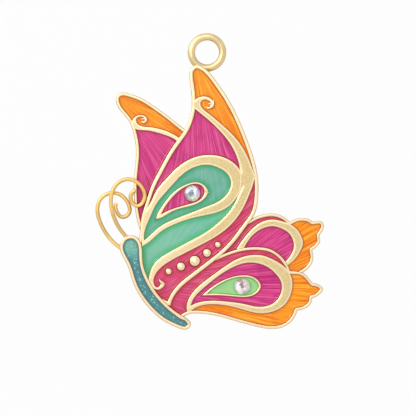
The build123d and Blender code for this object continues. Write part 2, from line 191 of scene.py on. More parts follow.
# Painted reflections and shade that each crystal's facets show: around its crown from the right side against
# the clock, around its table's ring, and in its heart
CRYSTAL_REFLECTIONS = {
    "fore_stone": {
        "crown": (
            (232, 214, 246),
            (255, 255, 255),
            (196, 214, 228),
            (250, 253, 255),
            (168, 178, 190),
            (206, 212, 182),
            (252, 254, 240),
            (240, 226, 246),
        ),
        "ring": ((250, 250, 255), (150, 168, 190), (116, 130, 150), (204, 214, 184)),
        "heart": (92, 110, 134),
    },
    "hind_stone": {
        "crown": (
            (250, 240, 210),
            (238, 216, 226),
            (196, 156, 152),
            (232, 220, 240),
            (250, 250, 255),
            (252, 250, 244),
            (222, 214, 234),
            (252, 250, 255),
        ),
        "ring": ((236, 226, 248), (170, 138, 126), (252, 250, 255), (250, 240, 200)),
        "heart": (160, 130, 116),
    },
}

# Each lamp: where it stands from the picture's centre, and how wide it is, in metres
LAMPS = {
    "key": ((-0.28, -0.55, 0.34), 0.9),
    "side": ((-0.5, -0.15, 0.42), 0.6),
    "spark": ((-0.2, -0.6, 0.15), 0.12),
}
# The backdrop, in metres: half its width, where its floor starts and its wall stands in depth, the
# radius of the bend between them, and the wall's height over it
BACKDROP_HALF_WIDTH = 1.2
BACKDROP_NEAR = -1.2
BACKDROP_FAR = 0.5
BACKDROP_BEND = 0.2
BACKDROP_WALL = 1.2


def shade(red, green, blue):
    """A colour written as 0 to 255 becomes one from 0 to 1."""
    return (red / 255, green / 255, blue / 255)


def darker(colour, share):
    return tuple(part * share for part in colour)


def paler(colour, share):
    return tuple(part * (1 - share) + share for part in colour)


def linear(colour):
    """The scene's value of a display colour, with full alpha."""
    parts = [part / 12.92 if part <= 0.04045 else ((part + 0.055) / 1.055) ** 2.4 for part in colour]
    return (*parts, 1.0)


def spot(pixel):
    """The place of a pixel of the picture, level with the ring's centre, in metres."""
    across = (pixel[0] - RING_CENTRE[0]) * PIXEL
    up = (RING_CENTRE[1] - pixel[1]) * PIXEL
    return Vector((across, 0, up)) * MM


# Sizes and colours that can be set


def colour_property(name, description, default):
    return bpy.props.FloatVectorProperty(
        name=name, description=description, default=default, size=3, min=0, max=1, subtype="COLOR_GAMMA"
    )


def length_property(name, description, default):
    return bpy.props.FloatProperty(
        name=name, description=description, default=default, min=0, precision=5, unit="LENGTH"
    )


def share_property(name, description, default, low, high):
    return bpy.props.FloatProperty(
        name=name, description=description, default=default, min=low, max=high, subtype="FACTOR"
    )


def power_property(name, description, default):
    return bpy.props.FloatProperty(name=name, description=description, default=default, min=0, unit="POWER")


class GiltSettings(bpy.types.PropertyGroup):
    """Sizes and colours of the gilt metal"""

    rim_round: length_property("Rim rounding", "Radius of the walls' worn edges", 0.1 * MM)
    ridge_radius: length_property("Ridge radius", "Radius of the raised lines on the bands", 0.13 * MM)
    polish_width: length_property("Polished width", "How far in from an edge the polish reaches", 0.13 * MM)
    band: colour_property("Band", "Matt gilt on the wide bands", shade(222, 200, 146))
    # Polished gilt, paler than the bands partly as a painted highlight on the rounded edges
    rim: colour_property("Rim", "Polished gilt on the rims and edges", shade(238, 216, 176))
    # Painted shade: darker gilt on the slopes of the walls and the wires' flanks, where they turn from the
    # light
    recess: colour_property("Recess", "Dull gilt on the slopes of the walls", shade(194, 142, 76))
    wire: colour_property("Wire", "Warm gilt of the antennae", shade(244, 206, 128))
    ring: colour_property("Ring", "Gilt of the hanging ring", shade(236, 212, 158))


class EnamelSettings(bpy.types.PropertyGroup):
    """Sizes and colours of the enamel"""

    climb: length_property("Climb", "How far the enamel climbs up its walls", 0.06 * MM)
    climb_width: length_property("Climb width", "How far from a wall the enamel is level", 0.27 * MM)
    # Each _edge colour is the darker line beside the walls: deeper enamel where it climbs them, and painted
    # shade from the walls
    orange: colour_property("Orange", "Orange enamel", shade(254, 152, 4))
    orange_deep: colour_property("Deep orange", "Dark streaks of the orange enamel", shade(234, 108, 2))
    orange_pale: colour_property("Pale orange", "Bright streaks of the orange enamel", shade(255, 186, 50))
    orange_edge: colour_property("Orange edge", "Red of the orange enamel beside a wall", shade(214, 100, 10))
    magenta: colour_property("Magenta", "Magenta enamel", shade(216, 56, 132))
    magenta_deep: colour_property("Deep magenta", "Dark streaks of the magenta enamel", shade(176, 20, 108))
    magenta_pale: colour_property("Pale magenta", "Bright streaks of the magenta", shade(228, 98, 152))
    magenta_edge: colour_property("Magenta edge", "Red of the magenta beside a wall", shade(172, 34, 70))
    rose: colour_property("Rose", "Redder enamel of the lower beds", shade(216, 70, 116))
    rose_deep: colour_property("Deep rose", "Dark streaks of the rose enamel", shade(190, 36, 96))
    rose_pale: colour_property("Pale rose", "Bright streaks of the rose enamel", shade(234, 116, 152))
    rose_edge: colour_property("Rose edge", "Red of the rose enamel beside a wall", shade(188, 36, 50))
    teal: colour_property("Teal", "Teal enamel", shade(122, 190, 160))
    teal_deep: colour_property("Deep teal", "Thicker parts of the teal enamel", shade(100, 178, 158))
    teal_pale: colour_property("Pale teal", "Bright streaks of the teal enamel", shade(152, 208, 176))
    teal_edge: colour_property("Teal edge", "Green of the teal enamel beside a wall", shade(54, 176, 110))
    eye: colour_property("Eye", "Teal enamel of the wing's eye", shade(114, 178, 156))
    eye_deep: colour_property("Deep eye", "Thicker parts of the eye's enamel", shade(88, 164, 144))
    eye_pale: colour_property("Pale eye", "Bright streaks of the eye's enamel", shade(140, 196, 170))
    eye_edge: colour_property("Eye edge", "Green of the eye's enamel beside a wall", shade(44, 162, 104))
    green: colour_property("Green", "Light green enamel", shade(162, 214, 142))
    green_deep: colour_property("Deep green", "Thicker parts of the light enamel", shade(142, 204, 128))
    green_pale: colour_property("Pale green", "Bright streaks of the green", shade(189.9, 226.3, 175.9))
    green_edge: colour_property("Green edge", "Green of the light enamel beside a wall", shade(96, 186, 100))
    body: colour_property("Body", "Dark glitter enamel of the body", shade(46, 130, 136))
    # The head's paler colour is a painted sheen
    head: colour_property("Head", "Paler enamel of the head", shade(104, 182, 162))
    glitter: colour_property("Glitter", "Bright flakes in the body's enamel", shade(170, 246, 226))


class StoneSettings(bpy.types.PropertyGroup):
    """Shape of the cut stones"""

    table_share: share_property("Table", "Width of the flat top, as a share of the stone's", 0.5, 0.2, 0.8)
    mid_share: share_property("Star width", "Width at the star facets' feet, as a share", 0.78, 0.5, 0.95)


class StageSettings(bpy.types.PropertyGroup):
    """Camera, lamps, floor and backdrop"""

    lens: bpy.props.FloatProperty(name="Lens", description="Focal length", default=200, min=50, unit="CAMERA")
    distance: length_property("Camera distance", "From the camera to the ornament", 258 * MM)
    floor_level: length_property("Drop to the floor", "From the ring's centre down to the floor", 46 * MM)
    world_level: share_property("World", "Strength of the even light", 0.76, 0, 1)
    key_level: power_property("Key lamp", "Power of the main lamp", 1.4)
    side_level: power_property("Side lamp", "Power of the upper left lamp", 1.0)
    spark_level: power_property("Spark lamp", "Power of the small lamp", 0.25)


# Meshes


def merged(node):
    """A closed copy of a CAD node's mesh."""
    shape = bmesh.new()
    shape.from_mesh(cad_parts[node].data)
    bmesh.ops.remove_doubles(shape, verts=shape.verts, dist=MERGE_DISTANCE)
    bmesh.ops.dissolve_degenerate(shape, edges=shape.edges, dist=MERGE_DISTANCE)
    return shape


def join_flats(shape):
    """Clears the edges that only divide a flat."""
    bmesh.ops.dissolve_limit(
        shape, angle_limit=FLAT_ANGLE, use_dissolve_boundaries=False, verts=shape.verts, edges=shape.edges
    )


def round_edges(shape, radius):
    """Rounds the outward edges of a casting."""
    edges = [edge for edge in shape.edges if edge.is_manifold and edge.is_convex]
    sharp = [edge for edge in edges if edge.calc_face_angle() > EDGE_ANGLE]
    bmesh.ops.bevel(
        shape,
        geom=sharp,
        offset=radius,
        offset_type="OFFSET",
        segments=4,
        profile=0.5,
        affect="EDGES",
        clamp_overlap=False,
        material=-1,
    )


def front_flats(shape):
    """The level faces of a casting that no enamel covers."""
    floors = [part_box(node)[1].y for node in (*BEDS, "body_enamel")]
    flats = []
    for face in shape.faces:
        level = face.calc_center_median().y
        if face.normal.y < FACING_FRONT and min(abs(level - floor) for floor in floors) > LEVEL_MARGIN:
            flats.append(face)
    return flats


def cut_in_strips(shape, faces, axis, lines):
    """Cuts faces along parallel lines, the middle line first, and gives the smaller faces."""
    if not faces or not lines:
        return faces
    middle = len(lines) // 2
    verts = {vert for face in faces for vert in face.verts}
    edges = {edge for face in faces for edge in face.edges}
    cut = bmesh.ops.bisect_plane(
        shape,
        geom=[*verts, *edges, *faces],
        dist=CUT_MARGIN,
        plane_co=axis * lines[middle],
        plane_no=axis,
    )
    sides = ([], [])
    for item in cut["geom"]:
        if isinstance(item, bmesh.types.BMFace):
            sides[item.calc_center_median().dot(axis) > lines[middle]].append(item)
    before = cut_in_strips(shape, sides[0], axis, lines[:middle])
    return before + cut_in_strips(shape, sides[1], axis, lines[middle + 1:])


def cut_in_squares(shape, faces, spacing):
    """Cuts level faces along a square grid, and gives the smaller ones."""
    for axis in (Vector((1, 0, 0)), Vector((0, 0, 1))):
        reach = [vert.co.dot(axis) for face in faces for vert in face.verts]
        numbers = range(math.ceil(min(reach) / spacing), math.floor(max(reach) / spacing) + 1)
        faces = cut_in_strips(shape, faces, axis, [number * spacing for number in numbers])
    return faces


def mark_edge_distance(shape, faces):
    """Stores how far each point is from the border of the level faces, in millimetres, and less
    than nothing where it is off them."""
    layer = shape.verts.layers.float.new("edge_distance")
    flats = set(faces)
    border = []
    for edge in {edge for face in faces for edge in face.edges}:
        if sum(face in flats for face in edge.link_faces) == 1:
            start, end = (vert.co for vert in edge.verts)
            count = max(math.ceil((end - start).length / BORDER_STEP), 1)
            border += [start.lerp(end, number / count) for number in range(count + 1)]
    tree = kdtree.KDTree(len(border))
    for number, place_at in enumerate(border):
        tree.insert(place_at, number)
    tree.balance()
    level = {vert for face in faces for vert in face.verts}
    for vert in shape.verts:
        distance = tree.find(vert.co)[2] / MM
        vert[layer] = distance if vert in level else -distance
    return layer


def smooth(shape, angle=CREASE_ANGLE):
    """Shades a shape smooth, apart from its creases."""
    for face in shape.faces:
        face.smooth = True
    for edge in shape.edges:
        edge.smooth = not edge.is_manifold or edge.calc_face_angle() < angle


def place(shape, name, material, node=None):
    """Makes a finished piece of a mesh, riding on the ornament in place of a node."""
    mesh = bpy.data.meshes.new(name)
    shape.to_mesh(mesh)
    shape.free()
    mesh.materials.append(material)
    piece = bpy.data.objects.new(name, mesh)
    bpy.context.scene.collection.objects.link(piece)
    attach(piece, "root")
    if node:
        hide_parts(node)


# Material nodes


def fill_sockets(tree, node, sockets):
    """Sets a node's sockets to values, or links other nodes' sockets to them."""
    for name, value in sockets.items():
        if isinstance(value, bpy.types.NodeSocket):
            tree.links.new(value, node.inputs[name])
        else:
            node.inputs[name].default_value = value


def add_node(tree, kind, sockets=None, **settings):
    """A node with its settings and sockets."""
    made = tree.nodes.new(kind)
    for name, value in settings.items():
        setattr(made, name, value)
    fill_sockets(tree, made, sockets or {})
    return made


def maths(tree, operation, first, second=0.0, clamp=False):
    made = add_node(tree, "ShaderNodeMath", {0: first, 1: second}, operation=operation, use_clamp=clamp)
    return made.outputs[0]


def mixed(tree, factor, first, second):
    """A mix of two colours."""
    made = add_node(tree, "ShaderNodeMix", {0: factor, 6: first, 7: second}, data_type="RGBA")
    return made.outputs[2]


def ranged(tree, value, low, high, to_low=0.0, to_high=1.0):
    """A value carried smoothly from one range to another, and held at its ends."""
    sockets = {0: value, 1: low, 2: high, 3: to_low, 4: to_high}
    return add_node(tree, "ShaderNodeMapRange", sockets, interpolation_type="SMOOTHSTEP").outputs[0]


def noise(tree, place_at, scale, detail=2.0, roughness=0.5, dimensions="3D"):
    """Noise from 0 to 1, mostly near its middle."""
    sockets = {"Vector": place_at, "Scale": scale, "Detail": detail, "Roughness": roughness}
    return add_node(tree, "ShaderNodeTexNoise", sockets, noise_dimensions=dimensions).outputs[0]


def along(tree, vector, axis):
    """How far a vector reaches along one axis."""
    return add_node(tree, "ShaderNodeSeparateXYZ", {0: vector}).outputs[axis]


def bumped(tree, strength, depth, height):
    """A normal that follows a height, at a depth in metres."""
    sockets = {"Strength": strength, "Distance": depth, "Height": height}
    return add_node(tree, "ShaderNodeBump", sockets).outputs[0]


def new_group(name, inputs, outputs):
    """A shader node group with float or vector inputs and float outputs."""
    tree = bpy.data.node_groups.new(name, "ShaderNodeTree")
    for label, kind, value in inputs:
        socket = tree.interface.new_socket(name=label, in_out="INPUT", socket_type=kind)
        socket.default_value = value
    for label in outputs:
        tree.interface.new_socket(name=label, in_out="OUTPUT", socket_type="NodeSocketFloat")
    return tree, tree.nodes.new("NodeGroupInput").outputs, tree.nodes.new("NodeGroupOutput")


def place_group(tree, maker, sockets):
    """The outputs of the node group that a function makes, which is made once."""
    group = bpy.data.node_groups.get(maker.__name__) or maker()
    return add_node(tree, "ShaderNodeGroup", sockets, node_tree=group).outputs


def new_material(name):
    """An empty material with its shader."""
    material = bpy.data.materials.new(name)
    material.use_nodes = True
    tree = material.node_tree
    tree.nodes.clear()
    shader = tree.nodes.new("ShaderNodeBsdfPrincipled")
    out = tree.nodes.new("ShaderNodeOutputMaterial")
    tree.links.new(shader.outputs[0], out.inputs["Surface"])
    return material, tree, shader


def object_coordinate(tree):
    return tree.nodes.new("ShaderNodeTexCoord").outputs["Object"]


def edge_distance(tree):
    return add_node(tree, "ShaderNodeAttribute", attribute_name="edge_distance").outputs["Fac"]


def slope(tree, level, steep):
    """How far a surface turns from the level: 0 where it faces front or back, 1 where it is steep."""
    facing = along(tree, tree.nodes.new("ShaderNodeNewGeometry").outputs["Normal"], "Y")
    return ranged(tree, maths(tree, "ABSOLUTE", facing), level, steep)


def engraved_rays():
    """Fine lines engraved under the enamel, spreading from one point like a fan."""
    tree, entry, out = new_group(
        "engraved_rays",
        [
            ("Coordinate", "NodeSocketVector", (0, 0, 0)),
            ("Centre", "NodeSocketVector", (0, 0, 0)),
            ("Lines", "NodeSocketFloat", 40.0),
        ],
        ["Streak", "Groove"],
    )
    ends = {0: entry["Coordinate"], 1: entry["Centre"]}
    offset = add_node(tree, "ShaderNodeVectorMath", ends, operation="SUBTRACT").outputs[0]
    angle = maths(tree, "ARCTAN2", along(tree, offset, "Z"), along(tree, offset, "X"))
    reach = add_node(tree, "ShaderNodeVectorMath", {0: offset}, operation="LENGTH").outputs["Value"]
    turns = maths(tree, "MULTIPLY", angle, entry["Lines"])
    stretch = maths(tree, "MULTIPLY", reach, RAY_CHANGE / MM)
    broad_place = add_node(tree, "ShaderNodeCombineXYZ", {"X": turns, "Y": stretch}).outputs[0]
    broad = noise(tree, broad_place, 1.0, 1.5, 0.6, "2D")
    fine_turns = maths(tree, "MULTIPLY", turns, 2.3)
    fine_place = add_node(tree, "ShaderNodeCombineXYZ", {"X": fine_turns, "Y": stretch}).outputs[0]
    fine = noise(tree, fine_place, 1.0, 2.0, 0.65, "2D")
    both = maths(tree, "ADD", maths(tree, "MULTIPLY", broad, 0.4), maths(tree, "MULTIPLY", fine, 0.6))
    streak = ranged(tree, both, 0.36, 0.64)
    fill_sockets(tree, out, {"Streak": streak, "Groove": ranged(tree, fine, 0.35, 0.65)})
    return tree


def cast_grain():
    """The fine pitted grain of a cast and gilt surface, and its soft clouds."""
    tree, entry, out = new_group(
        "cast_grain",
        [("Coordinate", "NodeSocketVector", (0, 0, 0)), ("Grains per mm", "NodeSocketFloat", 9.0)],
        ["Height", "Cloud"],
    )
    scale = maths(tree, "MULTIPLY", entry["Grains per mm"], 1 / MM)
    cloud = noise(tree, entry["Coordinate"], maths(tree, "MULTIPLY", scale, 0.06))
    grain = noise(tree, entry["Coordinate"], scale, 3.0)
    fill_sockets(tree, out, {"Height": grain, "Cloud": ranged(tree, cloud, 0.35, 0.65)})
    return tree


def glitter_flakes():
    """Small bright flakes in an enamel, and a tone for each."""
    tree, entry, out = new_group(
        "glitter_flakes",
        [("Coordinate", "NodeSocketVector", (0, 0, 0)), ("Flakes per mm", "NodeSocketFloat", 7.0)],
        ["Flake", "Tone"],
    )
    scale = maths(tree, "MULTIPLY", entry["Flakes per mm"], 1 / MM)
    cells = add_node(tree, "ShaderNodeTexVoronoi", {"Vector": entry["Coordinate"], "Scale": scale})
    tone = add_node(tree, "ShaderNodeSeparateColor", {0: cells.outputs["Color"]})
    bright = ranged(tree, tone.outputs[0], 0.6, 0.85)
    near = ranged(tree, cells.outputs["Distance"], 0.25, 0.5, 1.0, 0.0)
    fill_sockets(tree, out, {"Flake": maths(tree, "MULTIPLY", bright, near), "Tone": tone.outputs[1]})
    return tree


# Materials


def casting_gilt(settings):
    """Matt on the wide bands; polished on rims and edges, and paler there with a painted highlight; painted
    shade on the slopes.
    """
    material, tree, shader = new_material("casting_gilt")
    coordinate = object_coordinate(tree)
    distance = edge_distance(tree)
    grain = place_group(tree, cast_grain, {"Coordinate": coordinate, "Grains per mm": 8.0})
    rim = linear(settings.rim)
    # The bands, with paler clouds and darker pits
    cloud = maths(tree, "MULTIPLY", grain["Cloud"], 0.35)
    band = mixed(tree, cloud, linear(settings.band), linear(paler(settings.band, 0.12)))
    pitted = ranged(tree, grain["Height"], 0.62, 0.38, 0.0, 0.55)
    band = mixed(tree, pitted, band, linear(darker(settings.band, 0.86)))
    # A painted highlight that brightens them towards the head, on the front only
    plain, bright = (spot((column, 0)).x for column in LIT_COLUMNS)
    lit_towards_head = ranged(tree, along(tree, coordinate, "X"), plain, bright, 0.0, 0.65)
    in_front = ranged(tree, along(tree, coordinate, "Y"), HIGHLIGHT_DEPTH, -HIGHLIGHT_DEPTH)
    band = mixed(tree, maths(tree, "MULTIPLY", lit_towards_head, in_front), band, rim)
    # Polish beside every edge, paler with a painted highlight, then painted shade on the slopes, and the
    # floors
    reach = settings.polish_width / MM
    matt = ranged(tree, distance, *(reach * share for share in POLISH_FADE))
    # Near every edge the paler rim colour is the polish and a painted highlight
    gilt = mixed(tree, matt, rim, band)
    # Painted shade down the rounded edges and wherever the surface turns steep
    shadow = maths(tree, "MAXIMUM", ranged(tree, distance, *SLOPE_REACH), slope(tree, 0.6, 0.15))
    gilt = mixed(tree, shadow, gilt, linear(settings.recess))
    lower = ranged(tree, distance, *FLOOR_REACH)
    # The grain is deep and rough where the metal is matt
    pits = maths(tree, "MULTIPLY", matt, maths(tree, "MULTIPLY", grain["Height"], 0.1))
    height = maths(tree, "ADD", maths(tree, "MULTIPLY", matt, 0.94), 0.06)
    height = maths(tree, "MULTIPLY", grain["Height"], height)
    sockets = {
        "Base Color": mixed(tree, lower, gilt, linear(settings.band)),
        "Roughness": maths(tree, "ADD", ranged(tree, matt, 0.0, 1.0, 0.2, 0.42), pits),
        "Metallic": 1.0,
        "Normal": bumped(tree, 0.4, 0.03 * MM, height),
    }
    fill_sockets(tree, shader, sockets)
    return material


def wire_gilt(name, colour, recess, roughness):
    """Drawn and plated wire, with painted shade on its flanks."""
    material, tree, shader = new_material(name)
    grain = place_group(tree, cast_grain, {"Coordinate": object_coordinate(tree), "Grains per mm": 6.0})
    gilt = mixed(tree, grain["Cloud"], linear(colour), linear(darker(colour, 0.9)))
    # Painted shade on the flanks, where the wire turns steep
    shadow = maths(tree, "MULTIPLY", slope(tree, 0.75, 0.15), 0.7)
    sockets = {
        "Base Color": mixed(tree, shadow, gilt, linear(recess)),
        "Roughness": maths(tree, "ADD", maths(tree, "MULTIPLY", grain["Height"], 0.12), roughness),
        "Metallic": 1.0,
        "Normal": bumped(tree, 0.08, 0.02 * MM, grain["Height"]),
    }
    fill_sockets(tree, shader, sockets)
    return material


def enamel(name, tones, widths, fan, lines, streaks):
    """Glossy translucent enamel over engraved rays, with a darker colour beside its walls: deeper enamel
    where it climbs them, and painted shade from the walls.
    """
    material, tree, shader = new_material(name)
    coordinate = object_coordinate(tree)
    distance = edge_distance(tree)
    plain, deep, pale, edge = (linear(tone) for tone in tones)
    rays = place_group(tree, engraved_rays, {"Coordinate": coordinate, "Centre": spot(fan), "Lines": lines})
    # Deeper where it is thick, with dark and bright rays
    thick = ranged(tree, noise(tree, coordinate, 0.45 / MM, 3.0, 0.6), 0.42, 0.66, 0.0, 0.6)
    dark = maths(tree, "MULTIPLY", ranged(tree, rays["Streak"], 0.45, 0.0), streaks)
    light = maths(tree, "MULTIPLY", ranged(tree, rays["Streak"], 0.55, 1.0), streaks)
    body = mixed(tree, thick, plain, deep)
    body = mixed(tree, dark, body, deep)
    body = mixed(tree, light, body, pale)
    # A thin darker line beside every wall, with a soft margin: deeper enamel where it climbs the wall, and
    # painted shade from the wall
    line, margin, share = widths
    beside = ranged(tree, distance, 0.02, line, 0.9, 0.0)
    beside = maths(tree, "MAXIMUM", beside, ranged(tree, distance, 0.05, margin, share, 0.0))
    sockets = {
        "Base Color": mixed(tree, beside, body, edge),
        "Roughness": 0.35,
        "Metallic": 0.0,
        "Specular IOR Level": 0.05,
        "Coat Weight": 0.5,
        "Coat Roughness": 0.08,
        "Normal": bumped(tree, 0.25 * streaks, 0.04 * MM, rays["Groove"]),
    }
    fill_sockets(tree, shader, sockets)
    return material


def glitter_enamel(settings):
    """Dark enamel with flakes, paler on the head with a painted sheen, and darker beside its walls."""
    material, tree, shader = new_material("body_glitter_enamel")
    coordinate = object_coordinate(tree)
    flakes = place_group(tree, glitter_flakes, {"Coordinate": coordinate, "Flakes per mm": 6.0})
    foot, top = (spot((0, row)).z for row in HEAD_ROWS)
    # A painted sheen makes the enamel paler on the head
    head = ranged(tree, along(tree, coordinate, "Z"), foot, top)
    deep = linear(darker(settings.body, 0.72))
    body = mixed(tree, head, linear(settings.body), linear(settings.head))
    body = mixed(tree, maths(tree, "MULTIPLY", flakes["Tone"], 0.35), body, deep)
    fading = ranged(tree, head, 0.0, 1.0, 0.85, 0.25)
    body = mixed(tree, maths(tree, "MULTIPLY", flakes["Flake"], fading), body, linear(settings.glitter))
    # Darker beside the walls: deeper enamel where it climbs them, and painted shade
    beside = ranged(tree, edge_distance(tree), 0.02, 0.3, 0.75, 0.0)
    sockets = {
        "Base Color": mixed(tree, beside, body, deep),
        "Roughness": ranged(tree, flakes["Flake"], 0.0, 1.0, 0.35, 0.15),
        "Coat Weight": 0.8,
        "Coat Roughness": 0.04,
        "Normal": bumped(tree, 0.3, 0.03 * MM, flakes["Tone"]),
    }
    fill_sockets(tree, shader, sockets)
    return material


def cut_crystal():
    """Foil-backed crystal, each facet with its own painted reflection and shade."""
    material, tree, shader = new_material("cut_crystal")
    reflection = add_node(tree, "ShaderNodeAttribute", attribute_name="facet_tint").outputs["Color"]
    # Random patches that turn the facets blue-grey
    blue_grey_patches = ranged(tree, noise(tree, object_coordinate(tree), 2.5 / MM, 1.0), 0.4, 0.7, 0.0, 0.35)
    sockets = {
        "Base Color": mixed(tree, blue_grey_patches, reflection, (0.35, 0.4, 0.5, 1.0)),
        "Metallic": 0.3,
        "Roughness": 0.1,
        "Coat Weight": 0.9,
        "Coat Roughness": 0.02,
    }
    fill_sockets(tree, shader, sockets)
    return material


def white_rays(tree):
    """1 on the rays that see the backdrop straight, in metal or through glass."""
    path = tree.nodes.new("ShaderNodeLightPath")
    seen = maths(tree, "ADD", path.outputs["Is Camera Ray"], path.outputs["Is Glossy Ray"])
    return maths(tree, "ADD", seen, path.outputs["Is Transmission Ray"], clamp=True)


def backdrop_paper():
    """White paper that the camera, metal and glass see as white, and that keeps a soft shadow."""
    material, tree, shader = new_material("backdrop_paper")
    fibre = noise(tree, object_coordinate(tree), 900.0)
    white = mixed(tree, fibre, (0.86, 0.86, 0.86, 1), (0.9, 0.9, 0.9, 1))
    fill_sockets(tree, shader, {"Base Color": white, "Roughness": 0.9})
    glow = add_node(tree, "ShaderNodeEmission", {"Color": (1, 1, 1, 1), "Strength": 1.0})
    seen = maths(tree, "MULTIPLY", white_rays(tree), 0.9)
    blend = add_node(tree, "ShaderNodeMixShader", {0: seen, 1: shader.outputs[0], 2: glow.outputs[0]})
    out = next(node for node in tree.nodes if node.bl_idname == "ShaderNodeOutputMaterial")
    tree.links.new(blend.outputs[0], out.inputs["Surface"])
    return material


# Steps


class ORNAMENT_OT_stage(bpy.types.Operator):
    """Sets up the camera, the lamps and the white floor and backdrop"""

    bl_idname = "ornament.stage"
    bl_label = "Stage"

    def execute(self, context):
        settings = context.scene.ornament_stage
        scene = context.scene
        scene.view_settings.view_transform = "Standard"
        centre = spot(PICTURE_CENTRE)
        camera = bpy.data.cameras.new("camera")
        camera.lens = settings.lens
        camera.sensor_width = 36
        camera.clip_start = 0.01
        camera.clip_end = 10
        holder = bpy.data.objects.new("camera", camera)
        scene.collection.objects.link(holder)
        holder.location = centre + Vector((0, -settings.distance, 0))
        holder.rotation_euler = (math.pi / 2, 0, 0)
        scene.camera = holder
        for name, (offset, size) in LAMPS.items():
            level = getattr(settings, f"{name}_level")
            self.lamp(f"{name}_lamp", centre + Vector(offset), centre, size, level)
        scene.world = self.even_light(settings)
        self.backdrop(settings)
        return {"FINISHED"}

    def lamp(self, name, place_at, aim, size, power):
        """A square lamp that points at its aim."""
        light = bpy.data.lights.new(name, "AREA")
        light.shape = "SQUARE"
        light.size = size
        light.energy = power
        holder = bpy.data.objects.new(name, light)
        bpy.context.scene.collection.objects.link(holder)
        holder.location = place_at
        holder.rotation_mode = "QUATERNION"
        holder.rotation_quaternion = (aim - place_at).to_track_quat("-Z", "Y")

    def even_light(self, settings):
        """A world that lights evenly and looks white."""
        world = bpy.data.worlds.new("even_light")
        world.use_nodes = True
        tree = world.node_tree
        seen = maths(tree, "MULTIPLY", white_rays(tree), 1 - settings.world_level)
        strength = maths(tree, "ADD", seen, settings.world_level)
        fill_sockets(tree, tree.nodes["Background"], {"Color": (1, 1, 1, 1), "Strength": strength})
        return world

    def backdrop(self, settings):
        """A floor that curves up into a wall."""
        half, near, far = BACKDROP_HALF_WIDTH, BACKDROP_NEAR, BACKDROP_FAR
        bend = BACKDROP_BEND
        level = -settings.floor_level
        shape = bmesh.new()
        start = shape.verts.new((-half, near, level))
        turn = shape.verts.new((-half, far - bend, level))
        shape.edges.new((start, turn))
        spun = bmesh.ops.spin(
            shape,
            geom=[turn],
            cent=(-half, far - bend, level + bend),
            axis=(1, 0, 0),
            angle=math.pi / 2,
            steps=16,
        )
        last = [item for item in spun["geom_last"] if isinstance(item, bmesh.types.BMVert)]
        raised = bmesh.ops.extrude_vert_indiv(shape, verts=last)
        bmesh.ops.translate(shape, vec=(0, 0, BACKDROP_WALL), verts=raised["verts"])
        swept = bmesh.ops.extrude_edge_only(shape, edges=shape.edges[:])
        side = [item for item in swept["geom"] if isinstance(item, bmesh.types.BMVert)]
        bmesh.ops.translate(shape, vec=(2 * half, 0, 0), verts=side)
        bmesh.ops.recalc_face_normals(shape, faces=shape.faces)
        for face in shape.faces:
            face.smooth = True
        mesh = bpy.data.meshes.new("backdrop")
        shape.to_mesh(mesh)
        shape.free()
        mesh.materials.append(backdrop_paper())
        sheet = bpy.data.objects.new("backdrop", mesh)
        bpy.context.scene.collection.objects.link(sheet)


class ORNAMENT_OT_casting(bpy.types.Operator):
    """Makes the gilt casting with rounded rims, matt bands and polished edges"""

    bl_idname = "ornament.casting"
    bl_label = "Gilt casting"

    def execute(self, context):
        settings = context.scene.ornament_gilt
        shape = merged("cast_frame")
        join_flats(shape)
        round_edges(shape, settings.rim_round)
        back = [face for face in shape.faces if face.normal.y > -FACING_FRONT]
        flats = cut_in_squares(shape, front_flats(shape), FRONT_SQUARE)
        flats += cut_in_squares(shape, back, BACK_SQUARE)
        layer = mark_edge_distance(shape, flats)
        # The dots' crowns stand in front of their bed, and far from any wall
        enamel_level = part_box("fore_dotted_enamel")[0].y
        for vert in shape.verts:
            if vert.co.y < enamel_level and vert[layer] < -DOT_CLEARANCE:
                vert[layer] = DOT_EDGE_DISTANCE
        smooth(shape)
        gilt = casting_gilt(settings)
        place(shape, "casting", gilt, "cast_frame")
        for name, (bed, course) in RIDGES.items():
            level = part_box(bed)[0].y - ENAMEL_DROP
            place(self.raised_line(context, level, course, settings.ridge_radius), name, gilt)
        return {"FINISHED"}

    def raised_line(self, context, level, course, radius):
        """A tapered line along a course, with less than half of it above the wall's top."""
        curve = bpy.data.curves.new("raised_line", "CURVE")
        curve.dimensions = "3D"
        curve.bevel_depth = radius
        curve.bevel_resolution = 4
        curve.use_fill_caps = True
        curve.resolution_u = 8
        line = curve.splines.new("NURBS")
        line.points.add(len(course) - 1)
        for point, (across, down, width) in zip(line.points, course):
            place_at = spot((across, down))
            point.co = (place_at.x, level + radius * RIDGE_SINK, place_at.z, 1)
            point.radius = width
        line.order_u = len(course)
        line.use_endpoint_u = True
        holder = bpy.data.objects.new("raised_line", curve)
        context.scene.collection.objects.link(holder)
        context.view_layer.update()
        shape = bmesh.new()
        finished = holder.evaluated_get(context.evaluated_depsgraph_get())
        shape.from_mesh(bpy.data.meshes.new_from_object(finished))
        bpy.data.objects.remove(holder)
        bmesh.ops.remove_doubles(shape, verts=shape.verts, dist=MERGE_DISTANCE)
        bmesh.ops.recalc_face_normals(shape, faces=shape.faces)
        smooth(shape)
        return shape


class ORNAMENT_OT_wires(bpy.types.Operator):
    """Makes the hanging ring and the two antennae"""

    bl_idname = "ornament.wires"
    bl_label = "Ring and antennae"

    def execute(self, context):
        settings = context.scene.ornament_gilt
        ring = wire_gilt("ring_gilt", settings.ring, settings.recess, RING_ROUGHNESS)
        wire = wire_gilt("antenna_gilt", settings.wire, settings.recess, WIRE_ROUGHNESS)
        for node, name, slot, material in (
            ("hanging_ring", "ring", "gilt_ring", ring),
            ("front_antenna", "antenna_in_front", "gilt_wire", wire),
            ("back_antenna", "antenna_behind", "gilt_wire", wire),
        ):
            shape = merged(node)
            smooth(shape, WIRE_CREASE_ANGLE)
            place(shape, name, material, node)
        return {"FINISHED"}


